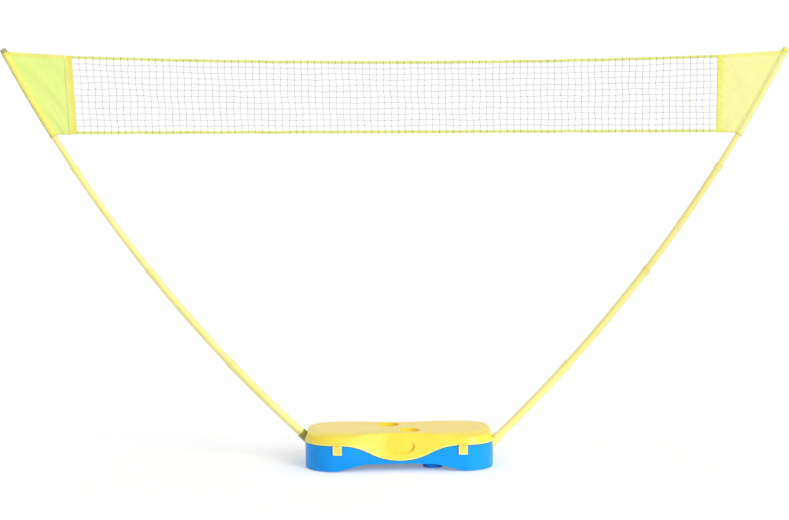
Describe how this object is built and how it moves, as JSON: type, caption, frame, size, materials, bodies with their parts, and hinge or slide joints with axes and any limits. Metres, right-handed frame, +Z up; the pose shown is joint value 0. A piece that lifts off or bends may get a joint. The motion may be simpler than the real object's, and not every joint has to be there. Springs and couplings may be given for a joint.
{
  "type": "volleyball net on poles",
  "caption": "Free-standing volleyball or badminton net on two curved telescopic poles that stand in a hinged storage case.",
  "frame": {"origin": "on the floor, under the middle of the storage case and of the net", "axes": "+X along the net towards the right-hand pole seen from the front, +Y to the back where the lid's hinges are, +Z up"},
  "size_m": [2.9158, 0.3188, 1.5542],
  "materials": {
    "shell_blue": "moulded plastic, satin",
    "lid_yellow": "moulded plastic, satin",
    "pad_teal": "matt rubber",
    "steel": "plain steel",
    "socket_grey": "moulded plastic, matt",
    "cuff_olive": "soft plastic, matt",
    "pole_yellow": "powder coat, satin",
    "bush_grey": "moulded plastic, matt",
    "collar_yellow": "moulded plastic, satin",
    "cap_olive": "moulded plastic, matt",
    "cap_yellow": "moulded plastic, matt",
    "cloth_lime": "thin woven cloth",
    "cloth_lemon": "thin woven cloth",
    "seam_yellow": "woven webbing",
    "tape_lime": "woven tape",
    "net_cord": "knotted cord"
  },
  "bodies": {
    "case": {"base_shell": "shell_blue", "foot_pads": "pad_teal", "hinge_pins": "steel", "left_socket": "socket_grey", "right_socket": "socket_grey", "socket_screws": "steel", "left_cuff": "cuff_olive", "right_cuff": "cuff_olive", "left_section_1": "pole_yellow", "right_section_1": "pole_yellow", "net_mesh": "net_cord", "top_tape": "tape_lime", "bottom_tape": "tape_lime", "left_seam_band": "seam_yellow", "right_seam_band": "seam_yellow"},
    "lid": {"lid": "lid_yellow", "latch_pins": "steel"},
    "left_latch": {"left_latch": "lid_yellow"},
    "right_latch": {"right_latch": "lid_yellow"},
    "left_pole_2": {"left_section_2": "pole_yellow", "left_bush_2": "bush_grey"},
    "left_pole_3": {"left_section_3": "pole_yellow", "left_bush_3": "bush_grey"},
    "left_pole_4": {"left_section_4": "pole_yellow", "left_bush_4": "bush_grey", "left_tip_cap": "cap_olive", "left_sleeve": "cloth_lime", "left_side_panel": "cloth_lime"},
    "left_lock_1": {"left_collar_1": "collar_yellow"},
    "left_lock_2": {"left_collar_2": "collar_yellow"},
    "left_lock_3": {"left_collar_3": "collar_yellow"},
    "right_pole_2": {"right_section_2": "pole_yellow", "right_bush_2": "bush_grey"},
    "right_pole_3": {"right_section_3": "pole_yellow", "right_bush_3": "bush_grey"},
    "right_pole_4": {"right_section_4": "pole_yellow", "right_bush_4": "bush_grey", "right_tip_cap": "cap_yellow", "right_sleeve": "cloth_lemon", "right_side_panel": "cloth_lemon"},
    "right_lock_1": {"right_collar_1": "collar_yellow"},
    "right_lock_2": {"right_collar_2": "collar_yellow"},
    "right_lock_3": {"right_collar_3": "collar_yellow"}
  },
  "joints": [
    {"name": "lid_hinge", "type": "hinge", "parent": "case", "child": "lid", "pos_m": [0, 0.1564, 0.097], "axis": [-1, 0, 0], "range_deg": [0, 100]},
    {"name": "left_latch_pivot", "type": "hinge", "parent": "lid", "child": "left_latch", "pos_m": [-0.23, -0.1549, 0.1], "axis": [-1, 0, 0], "range_deg": [0, 90]},
    {"name": "right_latch_pivot", "type": "hinge", "parent": "lid", "child": "right_latch", "pos_m": [0.23, -0.1549, 0.1], "axis": [-1, 0, 0], "range_deg": [0, 90]},
    {"name": "left_pole_push_in", "type": "hinge", "parent": "case", "child": "left_pole_4", "pos_m": [3.3089, 0.22595, 3.99931], "axis": [0.0475, -0.9989, 0], "range_deg": [0, 10.7], "deforming": ["left_side_panel"]},
    {"name": "left_section_3_slide", "type": "hinge", "parent": "case", "child": "left_pole_3", "pos_m": [3.3089, 0.22595, 3.99931], "axis": [0.0475, -0.9989, 0], "range_deg": [0, 9.38]},
    {"name": "left_section_2_slide", "type": "hinge", "parent": "case", "child": "left_pole_2", "pos_m": [3.3089, 0.22595, 3.99931], "axis": [0.0475, -0.9989, 0], "range_deg": [0, 4.63]},
    {"name": "left_lock_1_twist", "type": "hinge", "parent": "case", "child": "left_lock_1", "pos_m": [-0.63418, 0.03859, 0.38087], "axis": [-0.675, -0.0321, 0.7372], "range_deg": [0, 90]},
    {"name": "left_lock_2_twist", "type": "hinge", "parent": "left_pole_2", "child": "left_lock_2", "pos_m": [-0.92913, 0.02458, 0.7321], "axis": [-0.6094, -0.029, 0.7923], "range_deg": [0, 90]},
    {"name": "left_lock_3_twist", "type": "hinge", "parent": "left_pole_3", "child": "left_lock_3", "pos_m": [-1.19996, 0.01171, 1.11827], "axis": [-0.5374, -0.0255, 0.8429], "range_deg": [0, 90]},
    {"name": "right_pole_push_in", "type": "hinge", "parent": "case", "child": "right_pole_4", "pos_m": [-3.3089, -0.22595, 3.99931], "axis": [0.0475, -0.9989, 0], "range_deg": [-10.7, 0], "deforming": ["right_side_panel"]},
    {"name": "right_section_3_slide", "type": "hinge", "parent": "case", "child": "right_pole_3", "pos_m": [-3.3089, -0.22595, 3.99931], "axis": [0.0475, -0.9989, 0], "range_deg": [-9.38, 0]},
    {"name": "right_section_2_slide", "type": "hinge", "parent": "case", "child": "right_pole_2", "pos_m": [-3.3089, -0.22595, 3.99931], "axis": [0.0475, -0.9989, 0], "range_deg": [-4.63, 0]},
    {"name": "right_lock_1_twist", "type": "hinge", "parent": "case", "child": "right_lock_1", "pos_m": [0.63418, -0.03859, 0.38087], "axis": [0.675, 0.0321, 0.7372], "range_deg": [0, 90]},
    {"name": "right_lock_2_twist", "type": "hinge", "parent": "right_pole_2", "child": "right_lock_2", "pos_m": [0.92913, -0.02458, 0.7321], "axis": [0.6094, 0.029, 0.7923], "range_deg": [0, 90]},
    {"name": "right_lock_3_twist", "type": "hinge", "parent": "right_pole_3", "child": "right_lock_3", "pos_m": [1.19996, -0.01171, 1.11827], "axis": [0.5374, 0.0255, 0.8429], "range_deg": [0, 90]}
  ],
  "couplings": [
    {"joint": "left_section_3_slide", "follows": "left_pole_push_in", "ratio": 0.87525},
    {"joint": "left_section_2_slide", "follows": "left_pole_push_in", "ratio": 0.43113},
    {"joint": "right_section_3_slide", "follows": "right_pole_push_in", "ratio": 0.87525},
    {"joint": "right_section_2_slide", "follows": "right_pole_push_in", "ratio": 0.43113}
  ]
}
